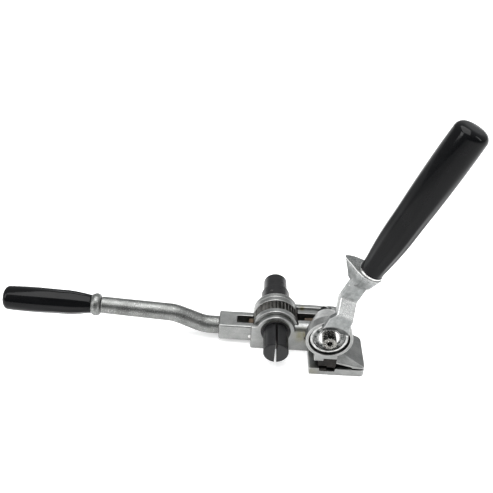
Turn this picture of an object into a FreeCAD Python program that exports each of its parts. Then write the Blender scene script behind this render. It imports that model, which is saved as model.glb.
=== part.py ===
import FreeCAD, Part
import math
import os

# Ratchet banding tool: it winds steel band on a slotted windlass, holds the tension with a ratchet and
# shears the band with a lever-driven blade. Millimetres. Every piece is modelled about the windlass axis
# (Y axis, gear mid-plane at Y = 0, nose towards +X, sole downwards) and moved, as it is written, so that
# the origin lies on the sole, under the cutter axis, on the band's centreline.

V = FreeCAD.Vector
Y_AXIS = V(0, 1, 0)

# ---- clearances -------------------------------------------------------------------------------------
RUN = 0.05            # radial running fit of a shaft or pin
SEAT = 0.04           # radial clearance of a pin, screw or bush that stays put
SIDE = 0.2            # axial gap beside a turning piece
GAP = 0.3             # gap between a pawl and what it meets
BEYOND = 1.0          # how far a cutting tool reaches past the face it cuts

# ---- windlass and ratchet ---------------------------------------------------------------------------
SHAFT_R = 12.0
MANDREL = 29.2        # how far the windlass stands out of the front cheek
REAR_END = 60.4
END_CHAMFER = 1.0
BAND_SLOT = 2.0
GEAR_TIP_R = 21.6
TOOTH_DEPTH = 1.7
TEETH = 36            # a multiple of four
TOOTH_LAND = 0.12     # share of the pitch that is flat at a tooth's tip
GEAR_HALF = 5.5
KEY_W = 4.0
KEY_DEPTH = 2.2
COLLAR_WALL = 2.4
COLLAR_LENGTH = 23.3
COLLAR_PIN_R = 1.5
COLLAR_PIN_LEAN = -20.0
RING_T = 1.2
RING_WALL = 2.0        # how far the retaining ring stands out of the shaft
RING_GROOVE = 0.7
BUSH_WALL = 2.0

# ---- frame ------------------------------------------------------------------------------------------
CHEEK_T = 4.9
EYE_T = 5.6
SOLE_DROP = 1.2       # how far the sole lies below the fork eyes
CHEEK_LEFT = -24.0
CHEEK_TOP = 4.5
CHEEK_BOSS_WALL = 4.5 # wall of the front boss round its bushing
CHEEK_BLEND = 4.0
REAR_LEFT = -20.0
REAR_LEFT_TOP = -4.0
REAR_TOP = 9.3
REAR_CORNER_R = 5.0
BODY_LEFT = 16.0
BODY_RIGHT = 62.0
BODY_TOP = 7.0
BODY_ROUND = 8.0
CAVITY_GAP = 0.8      # room around the fork eyes

# ---- handle -----------------------------------------------------------------------------------------
EYE_MARGIN = 0.2      # how far the fork eyes stand out beyond the tooth tips
BLOCK_LEFT = -55.6
BLOCK_H = 18.5
BLOCK_ROUND = 1.6
ROD_R = 8.9
ROD_END_R = 8.2
ROD_SPIGOT_R = 6.0
ROD_SPIGOT = 9.0
ROD_FLAT = 14.4       # straight stretch beside the block
ROD_RISE_RUN = 29.5
ROD_RISE = 12.8
ROD_STRAIGHT = 71.5
ROD_STRAIGHT_RISE = 4.6
ROD_BEND_R = 30.0
GRIP_TILT = 1.6
GRIP_COLLAR_R = 11.0
GRIP_COLLAR_T = 9.5
GRIP_LENGTH = 85.0
GRIP_START_R = 9.0
GRIP_MID_R = 12.0
GRIP_END_R = 11.7
TANG_R = 5.0

# ---- pawls ------------------------------------------------------------------------------------------
PAWL_SLOT = 10.0      # width of both pawl slots
PAWL_W = 6.4
PAWL_PIN_R = 2.0
PAWL_BOSS_R = 3.6
PAWL_FACE_GAP = 0.45  # gap between a pawl's contact face and the tooth that it meets
PAWL_NOSE_SHARE = 0.95
HOLD_REACH = 8.9      # pivot's distance beyond the tooth tips
HOLD_PIVOT_Z = -6.0
HOLD_TAIL = 13.5      # slot's reach beyond the pivot
HOLD_TOOTH = -50.0    # angle of the tooth face that the holding pawl stops
HOLD_LIFT = 5.0       # lifts the tooth out of the gear onto the tooth tips, in degrees
HOLD_TAIL_TOP = 4.2
HOLD_TAIL_T = 3.5
HOLD_FLOOR_T = 2.0
DRIVE_REACH = 2.9
DRIVE_PIVOT_Z = -12.5
DRIVE_SLOT_REACH = 16.2
DRIVE_SLOT_FLOOR = -16.6
DRIVE_TOOTH = 180.0   # angle of the tooth face that the drive pawl pushes
DRIVE_LIFT = 8.0
PAWL_HEAD = 2.6       # height of a pawl's contact face above the tooth tips
SPRING_WIRE = 0.8
SPRING_R = 3.0
SPRING_TURNS = 2.5
SPRING_PITCH = 0.85
SPRING_LEG = 4.0

# ---- nose, cutter cup and band channel --------------------------------------------------------------
NOSE_LEFT = 32.7
NOSE_RIGHT = 85.0
NOSE_FRONT = -46.9
NOSE_REAR = -5.0
NOSE_CORNER_R = 3.5
TIP_Z = -11.6
NOSE_SLOPE = 25.0
TOOTH_LEFT = 36.1
CHANNEL_FLOOR = -15.2
CHANNEL_REAR = -23.0
CHANNEL_LEFT_TOP = -5.0
CHANNEL_TALL = 7.5    # height of the channel beside the blade
CHANNEL_MID = 3.2     # height where it steps down
CHANNEL_LIP = 2.0     # height under the tip
CHANNEL_STEP_X = 73.0
CUTTER_X = 47.5
CUTTER_Z = 21.5
CUP_R = 21.8
CUP_BORE_R = 19.0
CUP_DEPTH = 6.5
CUP_RIM = 8.9
CONE_END_R = 12.0

# ---- cutter -----------------------------------------------------------------------------------------
FLANGE_R = 18.0
FLANGE_T = 2.2
DISC_R = 13.5
DISC_T = 2.6
ECCENTRIC_R = 10.0
THROW = 3.0
ECCENTRIC_T = 10.5
JOURNAL_R = 8.0
STUD_R = 5.0
STUD_LENGTH = 6.4
NUT_FLATS = 17.0
NUT_T = 5.0
HUB_R = 9.8
HUB_T = 0.8
HUB_EDGE = 0.4
CAP_R = 6.6
CAP_T = 8.0
CAP_SHANK_R = 3.0
CAP_SHANK = 16.0
CAP_HEX = 5.0
CAP_KNURLS = 28
BLADE_LEFT = 40.5
BLADE_RIGHT = 57.5
BLADE_STEP_X = 44.9
BLADE_TOP = -2.3
BLADE_REAR = -24.0
BLADE_OPEN = 2.0      # band gap under the raised blade
BLADE_LIP = 1.6
BLADE_EDGE_X = 49.0
BLADE_FIT = 0.1
STEM_LEFT = 45.6
STEM_RIGHT = 53.4
STEM_REAR = -27.2
DIE_T = 3.3
DIE_LEFT = 42.0
DIE_SCREW_R = 1.5
DIE_SCREW_HEAD_R = 2.8

# ---- cutter lever -----------------------------------------------------------------------------------
LEVER_ANGLE = 68.0
SADDLE_LEFT = 50.0    # half-angles of the saddle on either side of the arm
SADDLE_RIGHT = 38.0
SCOOP_REAR_R = 10.2   # conical scoop round the hub
SCOOP_FRONT_R = 21.0
ARM_LEFT = 11.3       # the arm's edges, across its length
ARM_RIGHT = -5.5
ARM_T = 8.0
ARM_LOW_T = 5.0
ARM_ROUND = 1.5
JOGGLE_START = 33.5   # where the front face starts to step back, and where it stops
JOGGLE_END = 43.0
JOGGLE_SHIFT = 4.5    # how much nearer to the hub the rear face steps
GRIP_Y = -33.0
GUARD_FOOT = 60.0
FERRULE_START = 75.2
FERRULE_R = 11.2
FERRULE_T = 2.5
LEVER_GRIP_LENGTH = 151.8
LEVER_GRIP_START_R = 10.5
LEVER_GRIP_MID_R = 14.6
LEVER_GRIP_END_R = 14.8
LEVER_TANG_R = 6.0
GRIP_BORE_SHARE = 0.75
LEVER_PIN_R = 1.4
LEVER_PIN_PLACE = 15.6 # dowel's distance from the cutter axis

# ---- fasteners --------------------------------------------------------------------------------------
SCREW_R = 2.5
SCREW_HEAD_R = 4.8
SCREW_LENGTH = 13.0
SCREW_HEX = 3.0
SCREW_PLACES = ((29.0, -18.0), (55.5, -17.0), (55.5, 1.5))
LOCK_PIN_X = 48.0
LOCK_PIN_R = 3.6
LOCK_PIN_DEPTH = 12.0

# ---- sizes worked out from the ones above -----------------------------------------------------------
EYE_R = GEAR_TIP_R + EYE_MARGIN
SOLE_Z = -EYE_R - SOLE_DROP
COLLAR_R = SHAFT_R + COLLAR_WALL
RING_R = SHAFT_R + RING_WALL
EYE_INNER = GEAR_HALF + SIDE
EYE_OUTER = EYE_INNER + EYE_T
CHEEK_INNER = EYE_OUTER + SIDE
FRAME_HALF = CHEEK_INNER + CHEEK_T
MANDREL_END = -FRAME_HALF - MANDREL
SLOT_END = -FRAME_HALF - SIDE
BUSH_R = SHAFT_R + BUSH_WALL
CHEEK_BOSS_R = BUSH_R + CHEEK_BOSS_WALL
GEAR_ROOT_R = GEAR_TIP_R - TOOTH_DEPTH
CAVITY_R = EYE_R + CAVITY_GAP
HOLD_PIVOT = (GEAR_TIP_R + HOLD_REACH, HOLD_PIVOT_Z)
HOLD_SLOT_RIGHT = HOLD_PIVOT[0] + HOLD_TAIL
DRIVE_PIVOT = (-GEAR_TIP_R - DRIVE_REACH, DRIVE_PIVOT_Z)
DRIVE_SLOT_LEFT = -GEAR_TIP_R - DRIVE_SLOT_REACH
PAWL_HEAD_R = GEAR_TIP_R + PAWL_HEAD
PITCH = 360.0 / TEETH
RECESS_FLOOR = NOSE_FRONT + CUP_DEPTH
FLANGE_REAR = RECESS_FLOOR - SIDE
FLANGE_FRONT = FLANGE_REAR - FLANGE_T
HUB_FRONT = FLANGE_FRONT - HUB_T
DISC_REAR = FLANGE_REAR + DISC_T
ECCENTRIC_REAR = DISC_REAR + ECCENTRIC_T
CAM_BORE_REAR = ECCENTRIC_REAR + SIDE
BLADE_BOTTOM = CHANNEL_FLOOR + BLADE_OPEN
ARM_LOW_REAR = NOSE_FRONT - GAP
ARM_LOW_FRONT = ARM_LOW_REAR - ARM_LOW_T
SADDLE_R = CUP_BORE_R - GAP
SADDLE_REAR = FLANGE_FRONT - SEAT
LEVER_PIN_FRONT = SADDLE_REAR - LEVER_PIN_R * 1.6
ORIGIN = V(CUTTER_X, (NOSE_FRONT - FRAME_HALF) / 2.0, SOLE_Z)


# ---- helpers ----------------------------------------------------------------------------------------
def box(x0, x1, y0, y1, z0, z1):
    return Part.makeBox(x1 - x0, y1 - y0, z1 - z0, V(x0, y0, z0))


def cyl_y(x, z, r, y0, y1):
    return Part.makeCylinder(r, y1 - y0, V(x, y0, z), Y_AXIS)


def cone_y(x, z, r0, r1, y0, y1):
    return Part.makeCone(r0, r1, y1 - y0, V(x, y0, z), Y_AXIS)


def polar(radius, degrees):
    a = math.radians(degrees)
    return (radius * math.cos(a), radius * math.sin(a))


def prism_y(points, y0, y1):
    corners = [V(x, y0, z) for x, z in points]
    face = Part.Face(Part.makePolygon(corners + corners[:1]))
    return face.extrude(V(0, y1 - y0, 0))


def revolve_x(profile):
    """Turned piece about the X axis from (distance, radius) points; the outline closes on the axis."""
    points = [(profile[0][0], 0.0)] + list(profile) + [(profile[-1][0], 0.0)]
    corners = [V(x, 0, r) for x, r in points]
    face = Part.Face(Part.makePolygon(corners + corners[:1]))
    return face.revolve(V(0, 0, 0), V(1, 0, 0), 360)


def swelling_x(x0, r0, x1, r1, x2, r2, end_round):
    """Turned grip about X: starts at r0, swells to r1 at x1 and ends at r2 with a rounded end."""
    side = Part.BSplineCurve()
    side.interpolate([V(x0, 0, r0), V(x1, 0, r1), V(x2 - end_round, 0, r2)])
    turn = end_round * (1 - math.sqrt(0.5))
    nose = Part.Arc(V(x2 - end_round, 0, r2), V(x2 - turn, 0, r2 - turn), V(x2, 0, r2 - end_round))
    edges = [side.toShape(), nose.toShape()]
    edges.append(Part.makeLine(V(x2, 0, r2 - end_round), V(x2, 0, 0)))
    edges.append(Part.makeLine(V(x2, 0, 0), V(x0, 0, 0)))
    edges.append(Part.makeLine(V(x0, 0, 0), V(x0, 0, r0)))
    return Part.Face(Part.Wire(edges)).revolve(V(0, 0, 0), V(1, 0, 0), 360)


def hexagon_y(x, z, flats, y0, y1, turn=0.0):
    corner_r = flats / math.sqrt(3.0)
    spots = [polar(corner_r, turn + 60.0 * i) for i in range(6)]
    return prism_y([(x + dx, z + dz) for dx, dz in spots], y0, y1)


def fuse(first, *others):
    return first.fuse(list(others)).removeSplitter()


def straight_edges(shape, direction, wanted):
    """The straight edges along a direction whose middle point passes the test."""
    chosen = []
    for edge in shape.Edges:
        if not isinstance(edge.Curve, Part.Line):
            continue
        if abs(abs(edge.Curve.Direction.dot(direction)) - 1.0) > 1e-6:
            continue
        if wanted(edge.CenterOfMass):
            chosen.append(edge)
    return chosen


def write(name, shape):
    placed = shape.copy()
    placed.translate(ORIGIN.negative())
    placed.exportStep("parts/" + name + ".step")


# ---- windlass ---------------------------------------------------------------------------------------
def collar_pin_cut(radius, half_length):
    middle_y = FRAME_HALF + GAP + COLLAR_LENGTH * 0.6
    pin = Part.makeCylinder(radius, 2 * half_length, V(0, middle_y, -half_length))
    pin.rotate(V(0, 0, 0), Y_AXIS, COLLAR_PIN_LEAN)
    return pin


def make_windlass_shaft():
    body = cyl_y(0, 0, SHAFT_R, MANDREL_END + END_CHAMFER, REAR_END - END_CHAMFER)
    nose_end = cone_y(0, 0, SHAFT_R - END_CHAMFER, SHAFT_R, MANDREL_END, MANDREL_END + END_CHAMFER)
    rear_end = cone_y(0, 0, SHAFT_R, SHAFT_R - END_CHAMFER, REAR_END - END_CHAMFER, REAR_END)
    shaft = fuse(body, nose_end, rear_end)
    band_slot = box(-BAND_SLOT / 2, BAND_SLOT / 2, MANDREL_END - BEYOND, SLOT_END,
                    -SHAFT_R - BEYOND, SHAFT_R + BEYOND)
    keyway = box(-KEY_W / 2, KEY_W / 2, -GEAR_HALF, GEAR_HALF, SHAFT_R - KEY_DEPTH, SHAFT_R + BEYOND)
    ring_front = SLOT_END - SIDE - RING_T
    groove = cyl_y(0, 0, SHAFT_R + BEYOND, ring_front, ring_front + RING_T)
    groove = groove.cut(cyl_y(0, 0, SHAFT_R - RING_GROOVE, ring_front, ring_front + RING_T))
    pin_hole = collar_pin_cut(COLLAR_PIN_R + SEAT, COLLAR_R)
    return shaft.cut([band_slot, keyway, groove, pin_hole])


def make_ratchet_gear():
    points = []
    for i in range(TEETH):
        start = i * PITCH
        points.append(polar(GEAR_ROOT_R, start))
        points.append(polar(GEAR_TIP_R, start + PITCH * (1.0 - TOOTH_LAND)))
        points.append(polar(GEAR_TIP_R, start + PITCH))
    blank = prism_y(points, -GEAR_HALF, GEAR_HALF)
    bore = cyl_y(0, 0, SHAFT_R + SEAT, -GEAR_HALF - BEYOND, GEAR_HALF + BEYOND)
    keyway = box(-KEY_W / 2 - SEAT, KEY_W / 2 + SEAT, -GEAR_HALF - BEYOND, GEAR_HALF + BEYOND,
                 0, SHAFT_R + KEY_W - KEY_DEPTH + SEAT)
    return blank.cut([bore, keyway])


def make_gear_key():
    return box(-KEY_W / 2 + SEAT, KEY_W / 2 - SEAT, -GEAR_HALF + SEAT, GEAR_HALF - SEAT,
               SHAFT_R - KEY_DEPTH, SHAFT_R - KEY_DEPTH + KEY_W)


def make_rear_collar():
    start = FRAME_HALF + GAP
    end = start + COLLAR_LENGTH
    outer = fuse(cyl_y(0, 0, COLLAR_R, start, end - END_CHAMFER),
                 cone_y(0, 0, COLLAR_R, COLLAR_R - END_CHAMFER, end - END_CHAMFER, end))
    bore = cyl_y(0, 0, SHAFT_R + SEAT, start - BEYOND, end + BEYOND)
    return outer.cut([bore, collar_pin_cut(COLLAR_PIN_R + SEAT, COLLAR_R + BEYOND)])


def make_collar_pin():
    return collar_pin_cut(COLLAR_PIN_R, COLLAR_R - SIDE)


def make_retaining_ring():
    front = SLOT_END - SIDE - RING_T
    rear = front + RING_T
    ring = cyl_y(0, 0, RING_R, front + SEAT, rear - SEAT)
    bore = cyl_y(0, 0, SHAFT_R - RING_GROOVE + SEAT, front - BEYOND, rear + BEYOND)
    opening = box(-RING_GROOVE * 3, RING_GROOVE * 3, front - BEYOND, rear + BEYOND, -RING_R - BEYOND, 0)
    return ring.cut([bore, opening])


def make_bushing(y0, y1):
    return cyl_y(0, 0, BUSH_R, y0, y1).cut(cyl_y(0, 0, SHAFT_R + RUN, y0 - BEYOND, y1 + BEYOND))


# ---- frame ------------------------------------------------------------------------------------------
def front_cheek():
    plate = box(CHEEK_LEFT, BODY_LEFT, -FRAME_HALF, -CHEEK_INNER, SOLE_Z, CHEEK_TOP)
    boss = cyl_y(0, 0, CHEEK_BOSS_R, -FRAME_HALF, -CHEEK_INNER)
    cheek = fuse(plate, boss)
    corner_x = -math.sqrt(CHEEK_BOSS_R ** 2 - CHEEK_TOP ** 2)
    inner = straight_edges(cheek, Y_AXIS, lambda p: abs(p.x - corner_x) < 0.1 and abs(p.z - CHEEK_TOP) < 0.1)
    cheek = cheek.makeFillet(CHEEK_BLEND, inner)
    outer = straight_edges(cheek, V(0, 0, 1),
                           lambda p: abs(p.x - CHEEK_LEFT) < 0.1 and abs(p.y + FRAME_HALF) < 0.1)
    return cheek.makeFillet(CHEEK_T / 2, outer)


def frame_body():
    block = box(BODY_LEFT, BODY_RIGHT, -FRAME_HALF, CHEEK_INNER, SOLE_Z, BODY_TOP)
    front_top = straight_edges(block, V(1, 0, 0),
                               lambda p: abs(p.y + FRAME_HALF) < 0.1 and abs(p.z - BODY_TOP) < 0.1)
    block = block.makeFillet(BODY_ROUND, front_top)
    cavity = cyl_y(0, 0, CAVITY_R, -CHEEK_INNER, CHEEK_INNER + BEYOND)
    return block.cut(cavity)


def nose_block():
    slope = math.tan(math.radians(NOSE_SLOPE))
    crest_x = CUTTER_X + CUP_R * 0.1
    crest_z = TIP_Z + (NOSE_RIGHT - crest_x) * slope
    outline = [(NOSE_LEFT, SOLE_Z), (NOSE_RIGHT, SOLE_Z), (NOSE_RIGHT, TIP_Z), (crest_x, crest_z),
               (TOOTH_LEFT, crest_z), (TOOTH_LEFT, CHANNEL_FLOOR), (NOSE_LEFT, CHANNEL_FLOOR)]
    block = prism_y(outline, NOSE_FRONT, NOSE_REAR)
    corners = straight_edges(block, V(0, 0, 1), lambda p: abs(p.x - NOSE_RIGHT) < 0.1)
    block = block.makeFillet(NOSE_CORNER_R, corners)
    left_wall = box(NOSE_LEFT, TOOTH_LEFT, CHANNEL_REAR, NOSE_REAR, CHANNEL_FLOOR, crest_z)
    return fuse(block, left_wall).cut(nose_facet())


def nose_facet():
    """The sloping front facet of the nose, as the wedge of metal that is missing above it."""
    tip = V(NOSE_RIGHT, NOSE_FRONT, TIP_Z - 0.4)
    root = V(BLADE_RIGHT, NOSE_FRONT, CHANNEL_FLOOR + CHANNEL_TALL + 1.4)
    crest_x = BLADE_RIGHT + CUP_R * 0.34
    crest_z = TIP_Z + (NOSE_RIGHT - crest_x) * math.tan(math.radians(NOSE_SLOPE))
    crest = V(crest_x, NOSE_FRONT + CUP_R * 0.34, crest_z)
    normal = (crest - tip).cross(root - tip)
    normal.normalize()
    size = NOSE_RIGHT - NOSE_LEFT
    slab = Part.makeBox(2 * size, 2 * size, size, V(-size, -size, 0))
    slab.Placement = FreeCAD.Placement(tip, FreeCAD.Rotation(V(0, 0, 1), normal))
    return slab.common(box(BLADE_RIGHT, NOSE_RIGHT + size, NOSE_FRONT - size, NOSE_REAR, SOLE_Z, size))


def cutter_boss():
    rim = cyl_y(CUTTER_X, CUTTER_Z, CUP_R, NOSE_FRONT, NOSE_FRONT + CUP_RIM)
    cone = cone_y(CUTTER_X, CUTTER_Z, CUP_R, CONE_END_R, NOSE_FRONT + CUP_RIM, -FRAME_HALF)
    web = prism_y([(CUTTER_X - CONE_END_R, CUTTER_Z), (CUTTER_X - CONE_END_R, 0),
                   (CUTTER_X + CONE_END_R, 0), (CUTTER_X + CONE_END_R, CUTTER_Z)],
                  NOSE_FRONT + CUP_RIM, -FRAME_HALF)
    return [rim, cone, web]


def channel_cut():
    """Band channel: open at the front and at both ends, stepped down towards the nose tip."""
    front = NOSE_FRONT - BEYOND
    low = CHANNEL_FLOOR
    left = box(NOSE_LEFT - BEYOND, BLADE_LEFT, front, CHANNEL_REAR, low, CHANNEL_LEFT_TOP)
    taper = prism_y([(BLADE_RIGHT - BEYOND, low), (CHANNEL_STEP_X, low),
                     (CHANNEL_STEP_X, low + CHANNEL_MID), (BLADE_RIGHT - BEYOND, low + CHANNEL_TALL)],
                    front, CHANNEL_REAR)
    lip = box(CHANNEL_STEP_X - BEYOND, NOSE_RIGHT + BEYOND, front, CHANNEL_REAR, low, low + CHANNEL_LIP)
    return [left, taper, lip]


def blade_pocket():
    front = NOSE_FRONT - BEYOND
    lower = box(BLADE_LEFT, BLADE_RIGHT, front, BLADE_REAR, CHANNEL_FLOOR, CHANNEL_LEFT_TOP)
    upper = box(BLADE_STEP_X, BLADE_RIGHT, front, BLADE_REAR, CHANNEL_LEFT_TOP, BLADE_TOP)
    stem = box(STEM_LEFT - BLADE_FIT, STEM_RIGHT + BLADE_FIT, DISC_REAR, STEM_REAR + BLADE_FIT,
               BLADE_TOP - BEYOND, CUTTER_Z)
    scrap_right = BLADE_RIGHT - BLADE_FIT * 4
    scrap = box(DIE_LEFT, scrap_right, front, BLADE_REAR, CHANNEL_FLOOR - DIE_T, CHANNEL_FLOOR)
    return [lower, upper, stem, scrap]


def cutter_bores():
    recess = cyl_y(CUTTER_X, CUTTER_Z, CUP_BORE_R, NOSE_FRONT - BEYOND, RECESS_FLOOR)
    cam = cyl_y(CUTTER_X, CUTTER_Z, DISC_R + RUN, RECESS_FLOOR - BEYOND, CAM_BORE_REAR)
    journal = cyl_y(CUTTER_X, CUTTER_Z, JOURNAL_R + RUN, CAM_BORE_REAR - BEYOND, -FRAME_HALF + BEYOND)
    return [recess, cam, journal]


def holding_slot():
    half = PAWL_SLOT / 2
    px, pz = HOLD_PIVOT
    deep = box(BODY_LEFT - BEYOND, px + PAWL_BOSS_R * 1.3 + GAP * 3, -half, half, SOLE_Z + HOLD_FLOOR_T,
               BODY_TOP + BEYOND)
    tail_floor = HOLD_TAIL_TOP - HOLD_TAIL_T - GAP * 4
    shallow = box(px, HOLD_SLOT_RIGHT, -half, half, tail_floor, BODY_TOP + BEYOND)
    pin_hole = cyl_y(px, pz, PAWL_PIN_R + SEAT, -FRAME_HALF - BEYOND, CHEEK_INNER + BEYOND)
    return [deep, shallow, pin_hole]


def cheek_screw_tools(extra_r, extra_length):
    tools = []
    for x, z in SCREW_PLACES:
        shank = cyl_y(x, z, SCREW_R + extra_r, FRAME_HALF - SCREW_LENGTH - extra_length, FRAME_HALF)
        depth = SCREW_HEAD_R - SCREW_R
        head = cone_y(x, z, SCREW_R + extra_r, SCREW_HEAD_R + extra_r, FRAME_HALF - depth, FRAME_HALF)
        tools.append(fuse(shank, head))
    return tools


def lock_pin(radius, depth):
    top = BODY_TOP
    return Part.makeCylinder(radius, depth + BEYOND * 2, V(LOCK_PIN_X, CHEEK_INNER, top - depth))


def die_screw_tools(extra_r):
    x = (DIE_LEFT + BLADE_EDGE_X) / 2
    y = (NOSE_FRONT + BLADE_REAR) / 2
    depth = DIE_SCREW_HEAD_R - DIE_SCREW_R
    length = CHANNEL_FLOOR - SOLE_Z - BEYOND + extra_r
    shank = Part.makeCylinder(DIE_SCREW_R + extra_r, length, V(x, y, SOLE_Z))
    head = Part.makeCone(DIE_SCREW_HEAD_R + extra_r, DIE_SCREW_R + extra_r, depth, V(x, y, SOLE_Z + SIDE))
    mouth = Part.makeCylinder(DIE_SCREW_HEAD_R + extra_r, SIDE, V(x, y, SOLE_Z))
    return shank, head, mouth


def make_main_frame():
    frame = fuse(front_cheek(), frame_body(), nose_block(), *cutter_boss())
    bush_bore = cyl_y(0, 0, BUSH_R + SEAT, -FRAME_HALF - BEYOND, -CHEEK_INNER + BEYOND)
    cuts = [bush_bore] + channel_cut() + blade_pocket() + cutter_bores() + holding_slot()
    cuts += cheek_screw_tools(SEAT, BEYOND)
    cuts.append(lock_pin(LOCK_PIN_R + SEAT, LOCK_PIN_DEPTH))
    cuts += list(die_screw_tools(SEAT))
    return frame.cut(cuts).removeSplitter()


def make_rear_cheek():
    eye = cyl_y(0, 0, EYE_R, CHEEK_INNER, FRAME_HALF)
    plate = box(0, BODY_RIGHT, CHEEK_INNER, FRAME_HALF, SOLE_Z, REAR_TOP)
    left = box(REAR_LEFT, 0, CHEEK_INNER, FRAME_HALF, SOLE_Z, REAR_LEFT_TOP)
    cheek = fuse(eye, plate, left)
    corner = straight_edges(cheek, Y_AXIS,
                            lambda p: abs(p.x - BODY_RIGHT) < 0.1 and abs(p.z - REAR_TOP) < 0.1)
    cheek = cheek.makeFillet(REAR_CORNER_R, corner)
    bush_bore = cyl_y(0, 0, BUSH_R + SEAT, CHEEK_INNER - BEYOND, FRAME_HALF + BEYOND)
    cuts = [bush_bore, lock_pin(LOCK_PIN_R + SEAT, LOCK_PIN_DEPTH + BEYOND)] + cheek_screw_tools(SEAT, BEYOND)
    notch = Part.makeCylinder(LOCK_PIN_R + SEAT, REAR_TOP - BODY_TOP + BEYOND)
    notch.translate(V(LOCK_PIN_X, CHEEK_INNER, BODY_TOP))
    cuts.append(notch)
    return cheek.cut(cuts)


def make_cheek_screws():
    screws = []
    for tool, (x, z) in zip(cheek_screw_tools(0, 0), SCREW_PLACES):
        socket = hexagon_y(x, z, SCREW_HEX, FRAME_HALF - SCREW_R, FRAME_HALF + BEYOND)
        screws.append(tool.cut(socket))
    return Part.makeCompound(screws)


def make_cheek_lock_pin():
    pin = Part.makeCylinder(LOCK_PIN_R, LOCK_PIN_DEPTH, V(LOCK_PIN_X, CHEEK_INNER, BODY_TOP - LOCK_PIN_DEPTH))
    socket_r = LOCK_PIN_R * 0.5
    socket = Part.makeCylinder(socket_r, LOCK_PIN_R, V(LOCK_PIN_X, CHEEK_INNER, BODY_TOP - LOCK_PIN_R))
    return pin.cut(socket)


def make_holding_pawl_pin():
    px, pz = HOLD_PIVOT
    return cyl_y(px, pz, PAWL_PIN_R, -FRAME_HALF + BEYOND, CHEEK_INNER)


def make_shear_die():
    die = box(DIE_LEFT + SEAT, BLADE_EDGE_X - BLADE_FIT / 2, NOSE_FRONT + SIDE, BLADE_REAR - SEAT,
              CHANNEL_FLOOR - DIE_T, CHANNEL_FLOOR)
    return die.cut(list(die_screw_tools(SEAT)))


def make_die_screw():
    shank, head, mouth = die_screw_tools(0)
    trim = box(DIE_LEFT, BLADE_EDGE_X, NOSE_FRONT, BLADE_REAR, SOLE_Z, SOLE_Z + SIDE)
    x = (DIE_LEFT + BLADE_EDGE_X) / 2
    y = (NOSE_FRONT + BLADE_REAR) / 2
    driver = box(x - DIE_SCREW_HEAD_R, x + DIE_SCREW_HEAD_R, y - 0.4, y + 0.4, SOLE_Z, SOLE_Z + BEYOND)
    return fuse(shank, head).cut([trim, driver])


# ---- handle -----------------------------------------------------------------------------------------
def make_handle_fork():
    block = box(BLOCK_LEFT, 0, -EYE_OUTER, EYE_OUTER, -BLOCK_H, 0)
    end_edges = [e for e in block.Edges if abs(e.CenterOfMass.x - BLOCK_LEFT) < 0.1]
    long_edges = straight_edges(block, V(1, 0, 0), lambda p: True)
    block = block.makeFillet(BLOCK_ROUND, end_edges + long_edges)
    eyes = cyl_y(0, 0, EYE_R, -EYE_OUTER, EYE_OUTER)
    fork = fuse(block, eyes)
    gear_room = cyl_y(0, 0, GEAR_TIP_R + GAP * 2, -EYE_INNER, EYE_INNER)
    right_room = box(-EYE_R * 0.6, EYE_R + BEYOND, -EYE_INNER, EYE_INNER, -EYE_R - BEYOND, EYE_R + BEYOND)
    bore = cyl_y(0, 0, SHAFT_R + RUN, -EYE_OUTER - BEYOND, EYE_OUTER + BEYOND)
    half = PAWL_SLOT / 2
    pawl_slot = box(DRIVE_SLOT_LEFT, -EYE_R * 0.6, -half, half, DRIVE_SLOT_FLOOR, BEYOND)
    px, pz = DRIVE_PIVOT
    pin_hole = cyl_y(px, pz, PAWL_PIN_R + SEAT, -EYE_OUTER - BEYOND, EYE_OUTER + BEYOND)
    rod_hole = Part.makeCylinder(ROD_SPIGOT_R + SEAT, ROD_SPIGOT, V(BLOCK_LEFT, 0, -BLOCK_H / 2), V(1, 0, 0))
    return fork.cut([gear_room, right_room, bore, pawl_slot, pin_hole, rod_hole])


def rod_corners():
    start = V(BLOCK_LEFT, 0, -BLOCK_H / 2)
    low = start + V(-ROD_FLAT, 0, 0)
    high = low + V(-ROD_RISE_RUN, 0, ROD_RISE)
    end = high + V(-ROD_STRAIGHT, 0, ROD_STRAIGHT_RISE)
    return [start, low, high, end]


def rounded_path(corners, radius):
    """A wire of straight runs joined by tangent arcs at the inner corners."""
    edges = []
    here = corners[0]
    for before, corner, after in zip(corners, corners[1:], corners[2:]):
        incoming = (before - corner).normalize()
        outgoing = (after - corner).normalize()
        half = incoming.getAngle(outgoing) / 2.0
        setback = radius / math.tan(half)
        inward = (incoming + outgoing).normalize()
        centre = corner + inward * (radius / math.sin(half))
        arc_start = corner + incoming * setback
        arc_end = corner + outgoing * setback
        edges.append(Part.makeLine(here, arc_start))
        edges.append(Part.Arc(arc_start, centre - inward * radius, arc_end).toShape())
        here = arc_end
    edges.append(Part.makeLine(here, corners[-1]))
    return Part.Wire(edges)


def make_handle_rod():
    corners = rod_corners()
    path = rounded_path(corners, ROD_BEND_R)
    start_ring = Part.Wire(Part.makeCircle(ROD_R, corners[0], V(-1, 0, 0)))
    end_dir = corners[3] - corners[2]
    end_ring = Part.Wire(Part.makeCircle(ROD_END_R, corners[3], end_dir))
    rod = path.makePipeShell([start_ring, end_ring], True, True)
    spigot = Part.makeCylinder(ROD_SPIGOT_R, ROD_SPIGOT - SIDE, V(BLOCK_LEFT, 0, -BLOCK_H / 2), V(1, 0, 0))
    tang_length = GRIP_COLLAR_T + GRIP_LENGTH * GRIP_BORE_SHARE
    tang = place_on_handle(revolve_x([(-ROD_END_R, TANG_R), (tang_length, TANG_R)]))
    return fuse(rod, spigot, tang)


def place_on_handle(shape):
    """Moves a piece made along +X from the origin onto the end of the rod, pointing outwards."""
    end = rod_corners()[3]
    placed = shape.copy()
    placed.rotate(V(0, 0, 0), V(0, 0, 1), 180)
    placed.rotate(V(0, 0, 0), Y_AXIS, GRIP_TILT)
    placed.translate(end)
    return placed


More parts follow.
